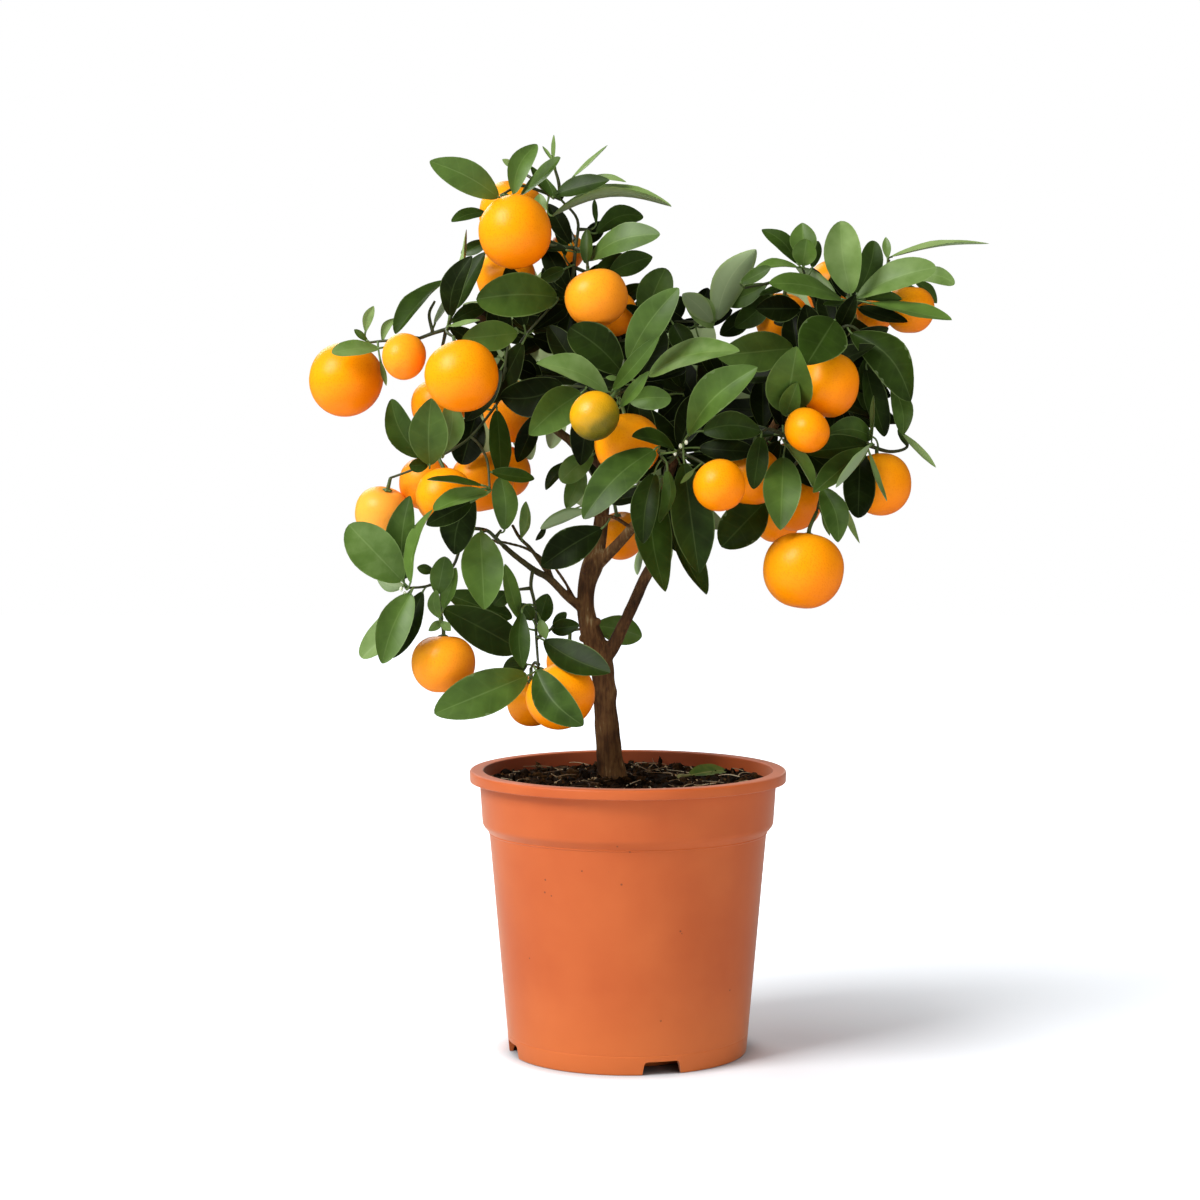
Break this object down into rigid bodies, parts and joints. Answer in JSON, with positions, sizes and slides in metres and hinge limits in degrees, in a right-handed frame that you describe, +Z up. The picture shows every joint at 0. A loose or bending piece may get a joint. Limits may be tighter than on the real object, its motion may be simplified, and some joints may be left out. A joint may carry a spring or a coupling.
{
  "type": "potted calamondin tree",
  "caption": "Small calamondin citrus tree with oval green leaves and round orange fruit, growing in a plain tapered plastic nursery pot.",
  "frame": {"origin": "middle of the flat underside of the pot, at floor level", "axes": "+Z up the trunk, -Y towards the front of the plant, +X to the right seen from the front"},
  "size_m": [0.3589, 0.2108, 0.4893],
  "materials": {
    "pot": "satin",
    "soil": "matte",
    "bark": "matte",
    "foliage": "satin",
    "dry_leaf": "satin",
    "peel": "satin",
    "unripe_peel": "satin"
  },
  "bodies": {
    "root": {"centre_limb": "bark", "fallen_leaf": "dry_leaf", "fruit_01": "peel", "fruit_02": "peel", "fruit_03": "peel", "fruit_04": "peel", "fruit_05": "peel", "fruit_06": "peel", "fruit_07": "peel", "fruit_08": "peel", "fruit_09": "peel", "fruit_10": "peel", "fruit_11": "peel", "fruit_12": "peel", "fruit_13": "peel", "fruit_14": "peel", "fruit_15": "peel", "fruit_16": "peel", "fruit_17": "peel", "fruit_18": "peel", "fruit_19": "peel", "fruit_20": "peel", "fruit_21": "peel", "fruit_22": "peel", "fruit_23": "peel", "fruit_24": "peel", "fruit_25": "peel", "fruit_26": "peel", "fruit_27": "peel", "fruit_28": "peel", "fruit_29": "peel", "fruit_31": "peel", "fruit_32": "peel", "fruit_33": "unripe_peel", "fruit_34": "peel", "fruit_35": "peel", "fruit_36": "peel", "fruit_37": "peel", "left_branch": "bark", "pot": "pot", "potting_soil": "soil", "right_limb": "bark", "shoot_back_left": "foliage", "shoot_back_low": "foliage", "shoot_back_right": "foliage", "shoot_bottom": "foliage", "shoot_centre": "foliage", "shoot_centre_low": "foliage", "shoot_left_mid": "foliage", "shoot_left_outer": "foliage", "shoot_left_upper": "foliage", "shoot_right_low": "foliage", "shoot_right_mid": "foliage", "shoot_right_outer": "foliage", "shoot_right_top": "foliage", "shoot_right_top_left": "foliage", "shoot_top_centre": "foliage", "shoot_top_left": "foliage", "trunk": "bark", "upper_branches": "bark"}
  },
  "joints": []
}
